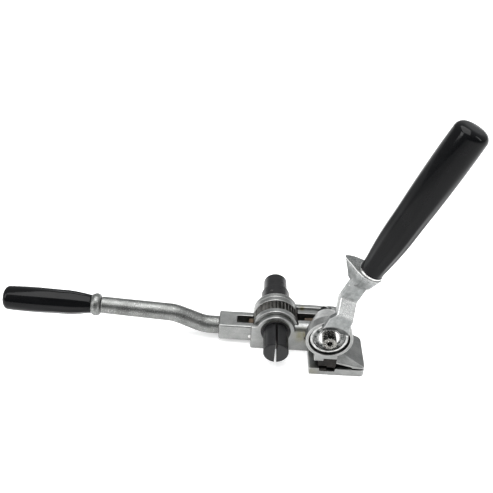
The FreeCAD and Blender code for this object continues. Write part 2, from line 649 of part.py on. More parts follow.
def make_grip_collar():
    bulge = GRIP_COLLAR_R - ROD_END_R
    t = GRIP_COLLAR_T
    profile = [(GAP + SEAT, ROD_END_R), (t * 0.2, ROD_END_R + bulge * 0.75), (t * 0.4, GRIP_COLLAR_R),
               (t * 0.65, GRIP_COLLAR_R), (t * 0.9, GRIP_START_R + bulge * 0.3), (t, GRIP_START_R)]
    ring = revolve_x(profile)
    bore = revolve_x([(-BEYOND, TANG_R + SEAT), (t + BEYOND, TANG_R + SEAT)])
    return place_on_handle(ring.cut(bore))


def make_handle_grip():
    start = GRIP_COLLAR_T + SEAT
    end = GRIP_COLLAR_T + GRIP_LENGTH
    grip = swelling_x(start, GRIP_START_R, start + GRIP_LENGTH * 0.45, GRIP_MID_R, end, GRIP_END_R,
                      GRIP_END_R * 0.45)
    bore_length = GRIP_COLLAR_T + GRIP_LENGTH * GRIP_BORE_SHARE + SIDE
    bore = revolve_x([(0, TANG_R + SEAT), (bore_length, TANG_R + SEAT)])
    return place_on_handle(grip.cut(bore))


# ---- pawls ------------------------------------------------------------------------------------------
def pawl_face(tooth, head_r):
    """Nose of a pawl in the gap past a tooth face: two points on its contact face, two on its back."""
    off = tooth + math.degrees(PAWL_FACE_GAP / GEAR_ROOT_R)
    back = PITCH * PAWL_NOSE_SHARE
    flank_r = GEAR_ROOT_R + GAP + TOOTH_DEPTH * 0.75
    root, head = polar(GEAR_ROOT_R + GAP, off), polar(head_r, off)
    return [root, head, polar(GEAR_TIP_R + GAP * 2.5, tooth + back), polar(flank_r, tooth + back / 2)]


def pawl_solid(outline, pivot, lift):
    """A pawl drawn in its tooth gap, then lifted about its pivot until it rides on the tooth tips."""
    px, pz = pivot
    y0 = -PAWL_SLOT / 2 + SIDE
    arm = prism_y(outline, y0, y0 + PAWL_W)
    boss = cyl_y(px, pz, PAWL_BOSS_R, y0, y0 + PAWL_W)
    bore = cyl_y(px, pz, PAWL_PIN_R + RUN, y0 - BEYOND, y0 + PAWL_W + BEYOND)
    pawl = fuse(arm, boss).cut(bore)
    pawl.rotate(V(px, 0, pz), Y_AXIS, -lift)
    return pawl


def make_holding_pawl():
    px, pz = HOLD_PIVOT
    root, head, back, flank = pawl_face(HOLD_TOOTH, PAWL_HEAD_R)
    tail_end = HOLD_SLOT_RIGHT - GAP * 3
    tail_low = HOLD_TAIL_TOP - HOLD_TAIL_T
    outline = [root, head, (px, pz - PAWL_BOSS_R), (px + PAWL_BOSS_R, pz), (px + PAWL_BOSS_R * 1.3, tail_low),
               (tail_end, tail_low), (tail_end, HOLD_TAIL_TOP), (px - BEYOND, HOLD_TAIL_TOP),
               (px - PAWL_BOSS_R, pz + PAWL_BOSS_R * 0.8), back, flank]
    return pawl_solid(outline, HOLD_PIVOT, HOLD_LIFT)


def make_drive_pawl():
    px, pz = DRIVE_PIVOT
    root, head, back, flank = pawl_face(DRIVE_TOOTH, PAWL_HEAD_R)
    r = PAWL_BOSS_R
    outline = [root, head, (px - r, pz + r), (px - r, pz), (px, pz - r), (px + r, pz), back, flank]
    return pawl_solid(outline, DRIVE_PIVOT, DRIVE_LIFT)


def torsion_spring(pivot, first_leg, second_leg):
    px, pz = pivot
    y0 = -PAWL_SLOT / 2 + SIDE + PAWL_W + SPRING_WIRE / 2 + SIDE
    wire_r = SPRING_WIRE / 2
    height = SPRING_PITCH * SPRING_TURNS
    helix = Part.makeHelix(SPRING_PITCH, height, SPRING_R)
    ring = Part.Wire(Part.makeCircle(wire_r, V(SPRING_R, 0, 0), Y_AXIS))
    coil = Part.Wire(helix).makePipeShell([ring], True, True)
    legs = []
    for z, turn, lean in ((0, 0, first_leg), (height, 360 * SPRING_TURNS, second_leg)):
        x, y = polar(SPRING_R, turn)
        dx, dy = polar(1.0, lean)
        legs.append(Part.makeCylinder(wire_r, SPRING_LEG, V(x, y, z), V(dx, dy, 0)))
        legs.append(Part.makeSphere(wire_r, V(x, y, z)))
    spring = coil.fuse(legs)
    spring.rotate(V(0, 0, 0), V(1, 0, 0), -90)
    spring.translate(V(px, y0, pz))
    return spring


# ---- cutter -----------------------------------------------------------------------------------------
def at_cutter(shape):
    placed = shape.copy()
    placed.rotate(V(0, 0, 0), Y_AXIS, -LEVER_ANGLE)
    placed.translate(V(CUTTER_X, 0, CUTTER_Z))
    return placed


def lever_pin_tool(radius, rear):
    """Drive dowel of the lever, along Y, in the lever's own frame: distance from the hub along X."""
    return cyl_y(LEVER_PIN_PLACE, 0, radius, LEVER_PIN_FRONT, rear)


def make_cutter_shaft():
    x, z = CUTTER_X, CUTTER_Z
    flange = cyl_y(x, z, FLANGE_R, FLANGE_FRONT, FLANGE_REAR)
    disc = cyl_y(x, z, DISC_R, FLANGE_REAR, DISC_REAR)
    eccentric = cyl_y(x + THROW, z, ECCENTRIC_R, DISC_REAR, ECCENTRIC_REAR)
    journal = cyl_y(x, z, JOURNAL_R, ECCENTRIC_REAR, -FRAME_HALF - SIDE)
    stud = cyl_y(x, z, STUD_R, -FRAME_HALF - SIDE, -FRAME_HALF + STUD_LENGTH)
    hub = cyl_y(x, z, HUB_R, HUB_FRONT + HUB_EDGE, FLANGE_FRONT)
    hub_edge = cone_y(x, z, HUB_R - HUB_EDGE, HUB_R, HUB_FRONT, HUB_FRONT + HUB_EDGE)
    shaft = fuse(flange, disc, eccentric, journal, stud, hub, hub_edge)
    screw_hole = cyl_y(x, z, CAP_SHANK_R + SEAT, HUB_FRONT - BEYOND, HUB_FRONT + CAP_SHANK + SIDE)
    return shaft.cut([screw_hole, at_cutter(lever_pin_tool(LEVER_PIN_R + SEAT, FLANGE_REAR + BEYOND))])


def make_cap_screw():
    seat_y = HUB_FRONT
    head = cyl_y(CUTTER_X, CUTTER_Z, CAP_R, seat_y - CAP_T, seat_y)
    step = 360.0 / CAP_KNURLS
    grooves = []
    for i in range(CAP_KNURLS):
        dx, dz = polar(CAP_R + 0.1, i * step)
        grooves.append(cyl_y(CUTTER_X + dx, CUTTER_Z + dz, 0.45, seat_y - CAP_T - BEYOND, seat_y - 0.6))
    shank = cyl_y(CUTTER_X, CUTTER_Z, CAP_SHANK_R, seat_y, seat_y + CAP_SHANK)
    socket = hexagon_y(CUTTER_X, CUTTER_Z, CAP_HEX, seat_y - CAP_T - BEYOND, seat_y - CAP_T * 0.4)
    return fuse(head, shank).cut(grooves + [socket])


def make_shaft_nut():
    start = -FRAME_HALF + SIDE
    nut = hexagon_y(CUTTER_X, CUTTER_Z, NUT_FLATS, start, start + NUT_T, 15)
    return nut.cut(cyl_y(CUTTER_X, CUTTER_Z, STUD_R + SEAT, start - BEYOND, start + NUT_T + BEYOND))


def arm_outline():
    """Side view of the arm as (distance from the hub, Y) points: low stretch, joggle, high stretch."""
    high_front = GRIP_Y - ARM_T / 2
    high_rear = GRIP_Y + ARM_T / 2
    end = FERRULE_START - BEYOND
    front = [(HUB_R, ARM_LOW_FRONT), (JOGGLE_START, ARM_LOW_FRONT),
             (JOGGLE_END, high_front), (end, high_front)]
    rear = [(end, high_rear), (JOGGLE_END - JOGGLE_SHIFT, high_rear),
            (JOGGLE_START - JOGGLE_SHIFT, ARM_LOW_REAR), (HUB_R, ARM_LOW_REAR)]
    return front + rear


def lever_arm():
    corners = [V(s, y, ARM_RIGHT) for s, y in arm_outline()]
    arm = Part.Face(Part.makePolygon(corners + corners[:1])).extrude(V(0, 0, ARM_LEFT - ARM_RIGHT))
    long_edges = [e for e in arm.Edges if abs(e.BoundBox.ZLength) < 0.01 and e.BoundBox.XLength > ARM_T]
    return arm.makeFillet(ARM_ROUND, long_edges)


def saddle():
    """Foot of the lever: a part-ring in the cup, and a plate in front of the cup's rim that meets the arm."""
    ring = Part.makeCylinder(SADDLE_R, SADDLE_REAR - ARM_LOW_FRONT, V(0, ARM_LOW_FRONT, 0), Y_AXIS)
    reach = SADDLE_R * 3
    spots = [(0.0, 0.0), polar(reach, -SADDLE_RIGHT), (reach, 0.0), polar(reach, SADDLE_LEFT)]
    ring = ring.common(prism_y(spots, ARM_LOW_FRONT - BEYOND, SADDLE_REAR + BEYOND))
    left = polar(SADDLE_R, SADDLE_LEFT)
    right = polar(SADDLE_R, -SADDLE_RIGHT)
    web = [(HUB_R, 0.0), right, (SADDLE_R * 1.3, ARM_RIGHT * 1.25), (JOGGLE_START, ARM_RIGHT),
           (JOGGLE_START, ARM_LEFT), (JOGGLE_START * 0.8, ARM_LEFT * 1.3), left]
    return fuse(ring, prism_y(web, ARM_LOW_FRONT, ARM_LOW_REAR))


def guard():
    """Hammer guard: flares from the arm to a flat pear-shaped rim with a beak, below the ferrule."""
    foot = [(0.0, -5.0), (5.0, -5.0), (8.0, -4.0), (11.0, 0.0), (12.0, 3.0), (13.0, 6.0), (8.0, 7.0),
            (3.0, 7.0), (-3.0, 6.0), (-7.0, 4.5), (-8.5, 1.0), (-7.5, -3.0), (-4.0, -5.0)]
    rim = [(0.0, -12.0), (8.0, -10.5), (13.0, -5.5), (19.0, 3.0), (24.0, 9.5), (22.5, 14.5), (14.0, 17.0),
           (5.0, 17.5), (-4.0, 14.0), (-10.0, 9.0), (-12.6, 1.0), (-10.5, -6.5), (-6.0, -10.7)]
    wires = []
    for s, outline in ((GUARD_FOOT, foot), (FERRULE_START, rim)):
        corners = [V(s, GRIP_Y + y, n) for n, y in outline]
        wires.append(Part.makePolygon(corners + corners[:1]))
    return Part.makeLoft(wires, True, True)


def make_cutter_lever():
    lever = fuse(lever_arm(), saddle(), guard())
    tang_end = FERRULE_START + FERRULE_T + LEVER_GRIP_LENGTH * GRIP_BORE_SHARE
    tang = along_grip(revolve_x([(FERRULE_START - BEYOND, LEVER_TANG_R), (tang_end, LEVER_TANG_R)]))
    scoop = cone_y(0, 0, SCOOP_FRONT_R, SCOOP_REAR_R, ARM_LOW_FRONT, SADDLE_REAR)
    return at_cutter(fuse(lever, tang).cut([scoop, lever_pin_tool(LEVER_PIN_R + SEAT, SADDLE_REAR + BEYOND)]))


def along_grip(shape):
    placed = shape.copy()
    placed.translate(V(0, GRIP_Y, 0))
    return placed


def make_lever_pin():
    pin = lever_pin_tool(LEVER_PIN_R, FLANGE_REAR)
    return at_cutter(pin.cut(box(0, CUP_R, LEVER_PIN_FRONT, LEVER_PIN_FRONT + SEAT, -CUP_R, CUP_R)))


def make_grip_ferrule():
    ring = revolve_x([(FERRULE_START + SEAT, FERRULE_R - BEYOND / 2), (FERRULE_START + BEYOND, FERRULE_R),
                      (FERRULE_START + FERRULE_T - SEAT, FERRULE_R)])
    bore = revolve_x([(0, LEVER_TANG_R + SEAT), (FERRULE_START * 2, LEVER_TANG_R + SEAT)])
    return at_cutter(along_grip(ring.cut(bore)))


def make_lever_grip():
    start = FERRULE_START + FERRULE_T
    end = start + LEVER_GRIP_LENGTH
    grip = swelling_x(start, LEVER_GRIP_START_R, start + LEVER_GRIP_LENGTH * 0.45, LEVER_GRIP_MID_R, end,
                      LEVER_GRIP_END_R, LEVER_GRIP_END_R * 0.45)
    bore_end = start + LEVER_GRIP_LENGTH * GRIP_BORE_SHARE + SIDE
    bore = revolve_x([(0, LEVER_TANG_R + SEAT), (bore_end, LEVER_TANG_R + SEAT)])
    return at_cutter(along_grip(grip.cut(bore)))


def make_cutter_blade():
    fit = BLADE_FIT
    front = NOSE_FRONT + GAP
    rear = BLADE_REAR - fit
    low_head = box(BLADE_LEFT + fit, BLADE_RIGHT - fit, front, rear, BLADE_BOTTOM + BLADE_LIP,
                   CHANNEL_LEFT_TOP - GAP)
    high_head = box(BLADE_STEP_X + fit, BLADE_RIGHT - fit, front, rear, BLADE_BOTTOM + BLADE_LIP,
                    BLADE_TOP - GAP)
    lip = box(BLADE_EDGE_X + fit / 2, BLADE_RIGHT - fit * 6, front, rear,
              BLADE_BOTTOM, BLADE_BOTTOM + BLADE_LIP)
    stem_top = CUTTER_Z - ECCENTRIC_R - GAP
    stem = box(STEM_LEFT, STEM_RIGHT, DISC_REAR + fit, STEM_REAR, BLADE_TOP - BEYOND, stem_top)
    return fuse(low_head, high_head, lip, stem)


# ---- the parts --------------------------------------------------------------------------------------
os.makedirs("parts", exist_ok=True)

write("main_frame", make_main_frame())
write("rear_cheek", make_rear_cheek())
write("cheek_screws", make_cheek_screws())
write("cheek_lock_pin", make_cheek_lock_pin())
write("front_bushing", make_bushing(-FRAME_HALF, -CHEEK_INNER))
write("rear_bushing", make_bushing(CHEEK_INNER, FRAME_HALF))
write("holding_pawl_pin", make_holding_pawl_pin())
write("shear_die", make_shear_die())
write("die_screw", make_die_screw())

write("windlass_shaft", make_windlass_shaft())
write("ratchet_gear", make_ratchet_gear())
write("gear_key", make_gear_key())
write("rear_collar", make_rear_collar())
write("collar_pin", make_collar_pin())
write("retaining_ring", make_retaining_ring())

write("handle_fork", make_handle_fork())
write("handle_rod", make_handle_rod())
write("grip_collar", make_grip_collar())
write("handle_grip", make_handle_grip())
write("drive_pawl_pin", cyl_y(DRIVE_PIVOT[0], DRIVE_PIVOT[1], PAWL_PIN_R, -EYE_OUTER, EYE_OUTER))

write("drive_pawl", make_drive_pawl())
write("drive_pawl_spring", torsion_spring(DRIVE_PIVOT, -110, -150))
write("holding_pawl", make_holding_pawl())
write("holding_pawl_spring", torsion_spring(HOLD_PIVOT, -110, 150))

write("cutter_shaft", make_cutter_shaft())
write("cutter_lever", make_cutter_lever())
write("lever_pin", make_lever_pin())
write("cap_screw", make_cap_screw())
write("shaft_nut", make_shaft_nut())
write("grip_ferrule", make_grip_ferrule())
write("lever_grip", make_lever_grip())
write("cutter_blade", make_cutter_blade())
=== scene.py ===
"""Looks of the ratchet banding tool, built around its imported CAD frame. Metres, in the frame of the CAD."""
import math

import bmesh
import bpy
import numpy as np
from mathutils import Matrix, Vector


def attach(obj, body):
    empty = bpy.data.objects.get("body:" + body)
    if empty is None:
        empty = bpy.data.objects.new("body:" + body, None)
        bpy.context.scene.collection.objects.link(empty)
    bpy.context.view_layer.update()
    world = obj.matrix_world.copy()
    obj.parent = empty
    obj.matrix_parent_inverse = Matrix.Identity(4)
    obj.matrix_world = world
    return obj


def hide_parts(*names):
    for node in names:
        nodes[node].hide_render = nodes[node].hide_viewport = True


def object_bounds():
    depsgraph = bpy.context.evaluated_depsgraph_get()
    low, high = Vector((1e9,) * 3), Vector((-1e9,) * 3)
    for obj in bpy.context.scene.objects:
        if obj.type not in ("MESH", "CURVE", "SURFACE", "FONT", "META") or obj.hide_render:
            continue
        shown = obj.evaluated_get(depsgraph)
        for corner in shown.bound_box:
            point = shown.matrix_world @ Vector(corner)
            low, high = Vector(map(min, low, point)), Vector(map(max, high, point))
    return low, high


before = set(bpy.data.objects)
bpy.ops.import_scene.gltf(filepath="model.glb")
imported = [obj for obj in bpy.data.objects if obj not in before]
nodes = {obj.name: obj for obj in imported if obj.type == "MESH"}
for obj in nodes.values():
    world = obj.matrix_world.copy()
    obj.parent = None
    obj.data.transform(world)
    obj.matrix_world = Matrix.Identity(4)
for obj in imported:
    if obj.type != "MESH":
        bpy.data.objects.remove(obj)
cad_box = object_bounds()

MM = 0.001
AROUND = 100
FLUTES = 10
FULLNESS = 0.7 * MM

# ---- camera ------------------------------------------------------------------------------------------
CAMERA_ELEVATION = 35.845
CAMERA_AZIMUTH = -0.445
CAMERA_ROLL = -3.536
CAMERA_PLACE = Vector((-0.08470, -0.48617, 0.48524))
SENSOR = 36.0
FOCAL_PIXELS = 700.0
IMAGE_PIXELS = 493.0

# ---- studio: the sky is darker toward the horizon and behind the camera ------------------------------
SKY_COLOUR = (0.97, 0.985, 1.0, 1.0)
SKY_RAMPS = (             # axis, where the ramp starts and ends, strength at either end
    ("Z", 0.05, 0.8, 0.42, 0.72),
    ("Y", -0.9, -0.1, 0.25, 1.0),
)
SOFTBOXES = (             # name, place, aim, size, power in watts
    ("top_softbox", (-0.15, 0.05, 1.5), (-0.1, 0.03, 0.0), (1.6, 1.2), 26.0),
    ("left_softbox", (-1.3, -0.5, 0.9), (-0.05, 0.0, 0.05), (0.5, 0.9), 9.0),
    ("right_softbox", (1.2, -0.5, 1.0), (0.0, 0.0, 0.05), (0.25, 0.9), 4.0),
)
FLOOR_GLOW = 0.45
FLOOR_HALF = 60.0
FLOOR_DROP = 0.0001

# ---- places on the tool -------------------------------------------------------------------------------
CUTTER_AXIS = Vector((0.0, 0.0, 0.0445))
WINDLASS_AXIS = Vector((-0.0475, 0.0, 0.0230))
LEVER_ANGLE = math.radians(68.0)
LEVER_DIRECTION = Vector((math.cos(LEVER_ANGLE), 0.0, math.sin(LEVER_ANGLE)))
STAINS = (                # centre, radius of the full stain, radius where it ends, strength
    ((-0.0215, 0.0153, 0.0200), 0.0030, 0.0110, 0.75),
    ((-0.0217, 0.0431, 0.0310), 0.0010, 0.0035, 0.90),
    ((-0.0110, -0.0150, 0.0040), 0.0020, 0.0080, 0.40),
)
RIM_INNER_R = 14.6 * MM
RIM_OUTER_R = 18.2 * MM
RIM_ROOT = -11.0 * MM
RIM_TOP = -13.2 * MM
ROD_TILT = math.radians(1.6)
ROD_DIRECTION = Vector((math.cos(ROD_TILT), 0.0, -math.sin(ROD_TILT)))


def camera_matrix():
    e, a, r = (math.radians(v) for v in (CAMERA_ELEVATION, CAMERA_AZIMUTH, CAMERA_ROLL))
    back = Vector((math.sin(a) * math.cos(e), -math.cos(a) * math.cos(e), math.sin(e)))
    level = Vector((math.cos(a), math.sin(a), 0.0))
    upright = back.cross(level)
    right = level * math.cos(r) - upright * math.sin(r)
    up = level * math.sin(r) + upright * math.cos(r)
    matrix = Matrix((right, up, back)).transposed().to_4x4()
    matrix.translation = CAMERA_PLACE
    return matrix


def add_camera():
    data = bpy.data.cameras.new("camera")
    data.sensor_width = SENSOR
    data.lens = FOCAL_PIXELS / IMAGE_PIXELS * SENSOR
    data.clip_start = 0.01
    data.clip_end = 200.0
    camera = bpy.data.objects.new("camera", data)
    bpy.context.scene.collection.objects.link(camera)
    camera.matrix_world = camera_matrix()
    bpy.context.scene.camera = camera


# ---- light and floor --------------------------------------------------------------------------------
def add_soft_light(name, place, aim, size, power):
    data = bpy.data.lights.new(name, "AREA")
    data.shape = "RECTANGLE"
    data.size, data.size_y = size
    data.energy = power
    light = bpy.data.objects.new(name, data)
    bpy.context.scene.collection.objects.link(light)
    light.location = Vector(place)
    light.rotation_euler = (Vector(aim) - Vector(place)).to_track_quat("-Z", "Y").to_euler()


def add_studio():
    world = bpy.data.worlds.new("studio")
    world.use_nodes = True
    tree = world.node_tree
    background = tree.nodes["Background"]
    background.inputs["Color"].default_value = SKY_COLOUR
    parts = tree.nodes.new("ShaderNodeSeparateXYZ")
    tree.links.new(tree.nodes.new("ShaderNodeTexCoord").outputs["Generated"], parts.inputs[0])
    strengths = []
    for axis, low, high, dark, light in SKY_RAMPS:
        ranged = tree.nodes.new("ShaderNodeMapRange")
        for key, value in (("From Min", low), ("From Max", high), ("To Min", dark), ("To Max", light)):
            ranged.inputs[key].default_value = value
        tree.links.new(parts.outputs[axis], ranged.inputs["Value"])
        strengths.append(ranged.outputs[0])
    product = tree.nodes.new("ShaderNodeMath")
    product.operation = "MULTIPLY"
    for value, socket in zip(strengths, product.inputs):
        tree.links.new(value, socket)
    tree.links.new(product.outputs[0], background.inputs["Strength"])
    bpy.context.scene.world = world
    bpy.context.scene.view_settings.view_transform = "Standard"
    for softbox in SOFTBOXES:
        add_soft_light(*softbox)


# ---- materials --------------------------------------------------------------------------------------
class Shader:
    """One procedural material on a Principled shader; scales are features per metre on the object."""

    def __init__(self, name, metallic, **fixed):
        self.material = bpy.data.materials.new(name)
        self.material.use_nodes = True
        self.tree = self.material.node_tree
        self.tree.nodes.clear()
        out = self.add("ShaderNodeOutputMaterial")
        self.bsdf = self.add("ShaderNodeBsdfPrincipled")
        self.link(self.bsdf.outputs[0], out.inputs[0])
        self.bsdf.inputs["Metallic"].default_value = metallic
        for key, value in fixed.items():
            self.bsdf.inputs[key.replace("_", " ")].default_value = value
        self.coord = self.add("ShaderNodeTexCoord").outputs["Object"]
        self.normal = None

    def add(self, kind):
        return self.tree.nodes.new(kind)

    def link(self, a, b):
        self.tree.links.new(a, b)

    def stretched(self, stretch):
        mapping = self.add("ShaderNodeMapping")
        mapping.inputs["Scale"].default_value = stretch
        self.link(self.coord, mapping.inputs["Vector"])
        return mapping.outputs[0]

    def noise(self, scale, detail=3.0, roughness=0.55, stretch=None):
        texture = self.add("ShaderNodeTexNoise")
        texture.inputs["Scale"].default_value = scale
        texture.inputs["Detail"].default_value = detail
        texture.inputs["Roughness"].default_value = roughness
        self.link(self.stretched(stretch) if stretch else self.coord, texture.inputs["Vector"])
        return texture.outputs["Fac"]

    def span(self, value, low, high, out_low, out_high):
        ranged = self.add("ShaderNodeMapRange")
        ranged.inputs["From Min"].default_value = low
        ranged.inputs["From Max"].default_value = high
        ranged.inputs["To Min"].default_value = out_low
        ranged.inputs["To Max"].default_value = out_high
        self.link(value, ranged.inputs["Value"])
        return ranged.outputs[0]

    def mix(self, amount, a, b):
        """Blend of two colours; each is an (r, g, b) or the output of another node."""
        node = self.add("ShaderNodeMix")
        node.data_type = "RGBA"
        self.link(amount, node.inputs[0])
        for value, socket in ((a, node.inputs[6]), (b, node.inputs[7])):
            if isinstance(value, tuple):
                socket.default_value = (*value, 1.0)
            else:
                self.link(value, socket)
        return node.outputs[2]

    def dot(self, direction, start):
        """Distance along a direction from a start point, in metres."""
        offset = self.add("ShaderNodeVectorMath")
        offset.operation = "SUBTRACT"
        self.link(self.coord, offset.inputs[0])
        offset.inputs[1].default_value = start
        product = self.add("ShaderNodeVectorMath")
        product.operation = "DOT_PRODUCT"
        self.link(offset.outputs[0], product.inputs[0])
        product.inputs[1].default_value = direction
        return product.outputs["Value"]

    def from_axis(self, place):
        """Distance from an axis that runs along Y, in metres."""
        flat = self.add("ShaderNodeVectorMath")
        flat.operation = "MULTIPLY_ADD"
        self.link(self.coord, flat.inputs[0])
        flat.inputs[1].default_value = (1.0, 0.0, 1.0)
        flat.inputs[2].default_value = -place
        length = self.add("ShaderNodeVectorMath")
        length.operation = "LENGTH"
        self.link(flat.outputs[0], length.inputs[0])
        return length.outputs["Value"]

    def from_point(self, point):
        distance = self.add("ShaderNodeVectorMath")
        distance.operation = "DISTANCE"
        self.link(self.coord, distance.inputs[0])
        distance.inputs[1].default_value = point
        return distance.outputs["Value"]

    def times(self, a, b):
        product = self.add("ShaderNodeMath")
        product.operation = "MULTIPLY"
        self.link(a, product.inputs[0])
        self.link(b, product.inputs[1])
        return product.outputs[0]

    def colour(self, value):
        self.link(value, self.bsdf.inputs["Base Color"])

    def roughness(self, value, low, high):
        self.link(self.span(value, 0.3, 0.7, low, high), self.bsdf.inputs["Roughness"])

    def soft_edges(self, radius):
        node = self.add("ShaderNodeBevel")
        node.samples = 4
        node.inputs["Radius"].default_value = radius
        self.normal = node.outputs[0]

    def bump(self, value, strength, depth):
        node = self.add("ShaderNodeBump")
        node.inputs["Strength"].default_value = strength
        node.inputs["Distance"].default_value = depth
        self.link(value, node.inputs["Height"])
        if self.normal is not None:
            self.link(self.normal, node.inputs["Normal"])
        self.normal = node.outputs[0]

    def done(self):
        if self.normal is not None:
            self.link(self.normal, self.bsdf.inputs["Normal"])
        return self.material

    def worn_edges(self, colour, worn):
        pointiness = self.add("ShaderNodeNewGeometry").outputs["Pointiness"]
        return self.mix(self.span(pointiness, 0.51, 0.58, 0.0, 1.0), colour, worn)

    # Painted shade: the colour goes darker where the surface curves inward, in hollows and inside corners.
    def painted_hollow_shade(self, colour, painted_hollow_shade):
        pointiness = self.add("ShaderNodeNewGeometry").outputs["Pointiness"]
        return self.mix(self.span(pointiness, 0.49, 0.42, 0.0, 1.0), colour, painted_hollow_shade)


def cast_steel():
    s = Shader("cast_steel", 1.0)
    blotch = s.noise(70.0, 4.0)
    base = s.mix(s.span(blotch, 0.35, 0.65, 0.0, 1.0), (0.20, 0.204, 0.20), (0.28, 0.284, 0.278))
    base = s.mix(s.span(s.noise(1500.0, 2.0), 0.56, 0.70, 0.0, 0.6), base, (0.40, 0.40, 0.39))
    for place, inner, outer, amount in STAINS:
        patch = s.span(s.from_point(place), inner, outer, amount, 0.0)
        broken = s.times(patch, s.span(s.noise(260.0, 4.0), 0.30, 0.60, 0.3, 1.0))
        base = s.mix(broken, base, (0.17, 0.155, 0.08))
    # Painted shade in hollows and inside corners.
    base = s.painted_hollow_shade(base, (0.12, 0.11, 0.09))
    base = s.worn_edges(base, (0.62, 0.62, 0.61))
    s.colour(base)
    s.roughness(s.noise(420.0), 0.30, 0.46)
    s.bump(s.noise(1100.0, 4.0, 0.6), 0.35, 0.00012)
    s.bump(s.noise(180.0, 2.0), 0.25, 0.0003)
    return s.done()


def forged_steel():
    s = Shader("forged_steel", 1.0)
    blotch = s.noise(90.0, 4.0)
    base = s.mix(s.span(blotch, 0.35, 0.65, 0.0, 1.0), (0.12, 0.123, 0.118), (0.19, 0.194, 0.188))
    base = s.mix(s.span(s.noise(1300.0, 2.0), 0.56, 0.72, 0.0, 0.9), base, (0.48, 0.48, 0.47))
    # Painted shade in hollows and inside corners.
    base = s.painted_hollow_shade(base, (0.14, 0.135, 0.115))
    base = s.worn_edges(base, (0.62, 0.62, 0.61))
    s.colour(base)
    s.roughness(s.noise(600.0), 0.32, 0.48)
    s.bump(s.noise(650.0, 4.0, 0.65), 0.8, 0.0003)
    s.bump(s.noise(160.0, 2.0), 0.3, 0.0004)
    return s.done()


def lever_steel():
    """The cutter lever: mid-grey forging, a bright scaly joggle and, at the hub, a polished scooped foot with
    painted shade and a painted dark reflection.
    """
    s = Shader("lever_steel", 1.0)
    along = s.dot(LEVER_DIRECTION, CUTTER_AXIS)
    streaks = s.noise(260.0, 4.0, 0.6)
    base = s.mix(s.span(streaks, 0.35, 0.65, 0.0, 1.0), (0.17, 0.178, 0.176), (0.26, 0.268, 0.265))
    joggle = s.times(s.span(along, 0.0325, 0.0345, 0.0, 1.0), s.span(along, 0.0445, 0.0425, 0.0, 1.0))
    spots = s.span(s.noise(1300.0, 3.0, 0.7), 0.40, 0.60, 0.0, 1.0)
    scale_spots = s.mix(spots, (0.24, 0.25, 0.25), (0.58, 0.58, 0.57))
    base = s.mix(joggle, base, scale_spots)
    rim = s.span(along, 0.068, 0.074, 0.0, 0.7)
    base = s.mix(s.times(rim, s.span(s.noise(1100.0, 3.0), 0.48, 0.62, 0.0, 1.0)), base, (0.62, 0.62, 0.61))
    # Painted shade and dark reflection: the colour goes near black close to the cutter axis, on the scooped
    # foot.
    painted_scoop_shade = s.span(s.from_axis(CUTTER_AXIS), 0.0110, 0.0215, 1.0, 0.0)
    base = s.mix(painted_scoop_shade, base, (0.05, 0.055, 0.055))
    # Painted shade in hollows and inside corners.
    base = s.painted_hollow_shade(base, (0.16, 0.155, 0.14))
    base = s.worn_edges(base, (0.70, 0.70, 0.69))
    s.colour(base)
    s.roughness(s.noise(600.0), 0.30, 0.46)
    s.bump(s.noise(1000.0, 4.0, 0.65), 0.4, 0.00014)
    s.bump(s.noise(160.0, 2.0), 0.25, 0.0004)
    return s.done()


def chrome():
    """Polished parts of the cutter hub, with painted shade in the recess between the rim and the hub and a
    painted shadow round the outside of the rim.
    """
    s = Shader("chrome", 1.0)
    haze = s.noise(220.0, 4.0)
    base = s.mix(s.span(haze, 0.35, 0.65, 0.0, 1.0), (0.26, 0.265, 0.26), (0.52, 0.52, 0.51))
    r = s.from_axis(CUTTER_AXIS)
    base = s.mix(s.span(r, 0.0098, 0.0090, 0.0, 0.9), base, (0.80, 0.79, 0.78))
    # Painted shade in the recess between the hub and the rim, broken up by noise.
    painted_groove_shade = s.times(s.span(r, 0.0100, 0.0108, 0.0, 1.0), s.span(r, 0.0148, 0.0140, 0.0, 1.0))
    shade_breakup = s.span(s.noise(320.0, 3.0), 0.30, 0.62, 0.35, 1.0)
    base = s.mix(s.times(painted_groove_shade, shade_breakup), base, (0.025, 0.027, 0.026))
    # Painted shadow in the gap between the rim and the cup round it.
    painted_gap_shadow = s.span(r, 0.0172, 0.0178, 0.0, 1.0)
    base = s.mix(s.times(painted_gap_shadow, s.span(r, 0.0190, 0.0186, 0.0, 1.0)), base, (0.03, 0.03, 0.03))
    s.colour(base)
    s.roughness(s.noise(500.0), 0.10, 0.26)
    s.soft_edges(0.0004)
    s.bump(s.noise(300.0, 2.0), 0.35, 0.0004)
    return s.done()


def bright_ferrule():
    s = Shader("bright_ferrule", 1.0)
    haze = s.noise(400.0, 4.0)
    s.colour(s.mix(s.span(haze, 0.35, 0.65, 0.0, 1.0), (0.45, 0.44, 0.43), (0.80, 0.80, 0.79)))
    s.roughness(s.noise(500.0), 0.14, 0.30)
    s.soft_edges(0.0004)
    s.bump(s.noise(700.0, 3.0), 0.3, 0.0001)
    return s.done()


def black_oxide():
    s = Shader("black_oxide", 0.2, Specular_IOR_Level=0.3)
    blotch = s.noise(120.0, 4.0)
    s.colour(s.mix(blotch, (0.006, 0.0062, 0.0065), (0.016, 0.016, 0.017)))
    s.roughness(s.noise(350.0), 0.26, 0.44)
    s.soft_edges(0.0004)
    s.bump(s.noise(2600.0, 2.0, 0.5, (0.03, 1.0, 0.03)), 0.25, 0.00004)
    s.bump(s.noise(700.0, 3.0), 0.12, 0.00008)
    return s.done()


def dark_fastener():
    s = Shader("dark_fastener", 0.8)
    blotch = s.noise(300.0, 4.0)
    s.colour(s.mix(s.span(blotch, 0.35, 0.7, 0.0, 1.0), (0.03, 0.03, 0.03), (0.13, 0.125, 0.12)))
    s.roughness(s.noise(900.0), 0.22, 0.40)
    s.soft_edges(0.00025)
    s.bump(s.noise(1800.0, 3.0), 0.3, 0.00006)
    return s.done()


